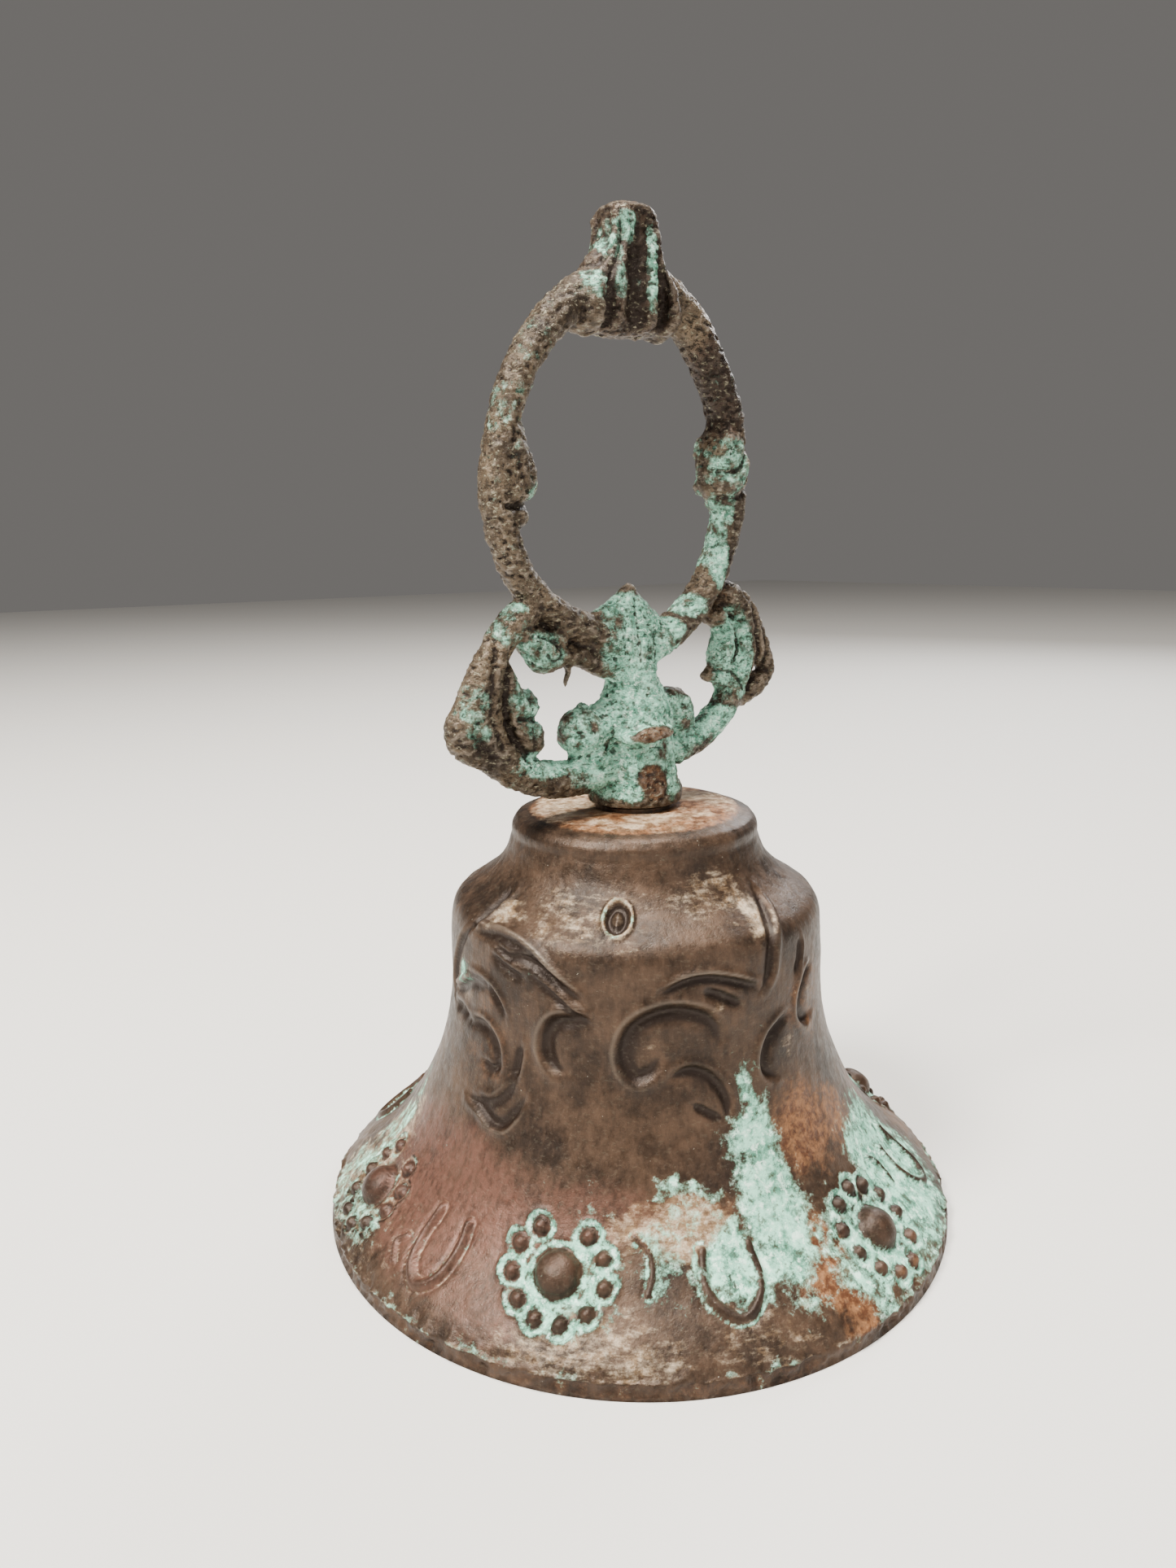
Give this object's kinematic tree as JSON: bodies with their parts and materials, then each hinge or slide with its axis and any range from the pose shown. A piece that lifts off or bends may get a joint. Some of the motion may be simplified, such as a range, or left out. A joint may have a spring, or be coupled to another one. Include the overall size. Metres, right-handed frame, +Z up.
{
  "type": "hand bell with scroll handle",
  "caption": "Small flared hand bell with relief ornament, an openwork scroll handle ending in a finger loop, and a ball clapper hanging free from a wire link inside.",
  "frame": {"origin": "centre of the mouth, in the plane of the lip that the bell stands on", "axes": "+Z up along the bell's axis to the top of the handle, +X across the handle's width, -Y the front"},
  "size_m": [0.08, 0.08, 0.12],
  "materials": {
    "bell": "aged brown patina, semi-matt, with green verdigris on the flare",
    "handle": "rough dark cast surface with green verdigris",
    "washer": "dull oxidised",
    "fixings": "dull oxidised steel",
    "wire": "rust-browned steel wire",
    "clapper": "dull aged brass"
  },
  "bodies": {
    "bell": {"bell_body": "bell", "handle": "handle", "seat_washer": "washer", "inner_washer": "washer", "lock_nut": "fixings", "eye_stud": "fixings"},
    "link": {"link_ring": "wire"},
    "clapper": {"clapper_rod": "wire", "clapper_ball": "clapper"}
  },
  "joints": [
    {"name": "link_swing", "type": "hinge", "parent": "bell", "child": "link", "pos_m": [0, 0, 0.0363], "axis": [1, 0, 0], "range_deg": [-33, 33]},
    {"name": "clapper_swing", "type": "hinge", "parent": "link", "child": "clapper", "pos_m": [0, 0, 0.03116], "axis": [0, 1, 0], "range_deg": [-24, 24]}
  ]
}
